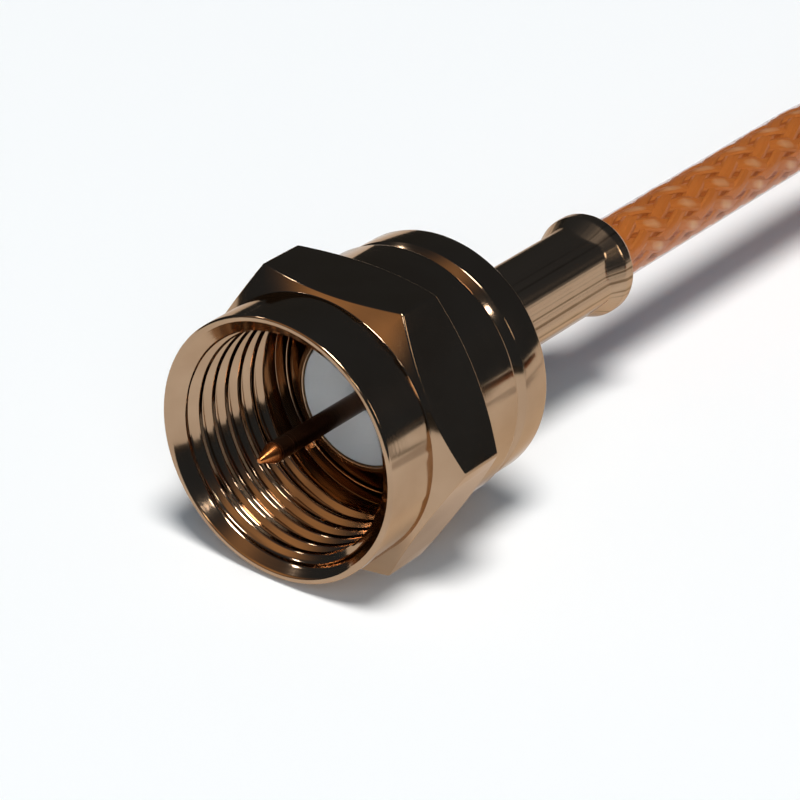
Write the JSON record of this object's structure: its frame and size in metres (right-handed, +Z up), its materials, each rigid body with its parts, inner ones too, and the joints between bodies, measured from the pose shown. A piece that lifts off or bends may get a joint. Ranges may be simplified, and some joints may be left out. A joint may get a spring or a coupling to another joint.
{
  "type": "f connector",
  "caption": "Crimp-type male F coaxial plug with a free-turning hexagonal coupling nut, on a short thin coax lead that ends in a like plug.",
  "frame": {"origin": "centre of the coupling nut's mouth, on the plug's axis", "axes": "+Y along the plug from its mouth to its cable, -Y out of the mouth, +Z up from the hexagon's flat that the plug lies on, +X to the right"},
  "size_m": [0.0401, 0.0705, 0.0112],
  "materials": {
    "nickel_plate": "bright nickel plate over brass",
    "spring_steel": "bright drawn",
    "copper_pin": "bare copper, slightly dull",
    "ptfe": "white, waxy",
    "silvered_wire": "silver-plated copper wire",
    "amber_jacket": "clear amber, glossy, over the braid",
    "strap": "hook-and-loop strap"
  },
  "bodies": {
    "plug": {"retaining_ring": "spring_steel", "connector_body": "nickel_plate", "insulator": "ptfe", "center_contact": "copper_pin", "crimp_ferrule": "nickel_plate", "cable_conductor": "silvered_wire", "cable_dielectric": "ptfe", "cable_braid": "silvered_wire", "cable_jacket": "amber_jacket", "cable_run": "amber_jacket", "cable_coil": "amber_jacket", "coil_tie": "strap", "cable_tail": "amber_jacket", "far_retaining_ring": "spring_steel", "far_connector_body": "nickel_plate", "far_insulator": "ptfe", "far_center_contact": "copper_pin", "far_crimp_ferrule": "nickel_plate", "far_cable_conductor": "silvered_wire", "far_cable_dielectric": "ptfe", "far_cable_braid": "silvered_wire", "far_cable_jacket": "amber_jacket"},
    "coupling": {"coupling_nut": "nickel_plate"},
    "far_coupling": {"far_coupling_nut": "nickel_plate"}
  },
  "joints": [
    {"name": "coupling_spin", "type": "hinge", "parent": "plug", "child": "coupling", "pos_m": [0, 0.007, 0], "axis": [0, 1, 0], "continuous": true},
    {"name": "far_coupling_spin", "type": "hinge", "parent": "plug", "child": "far_coupling", "pos_m": [0.0273, 0.0256, 0], "axis": [0, 1, 0], "continuous": true}
  ]
}
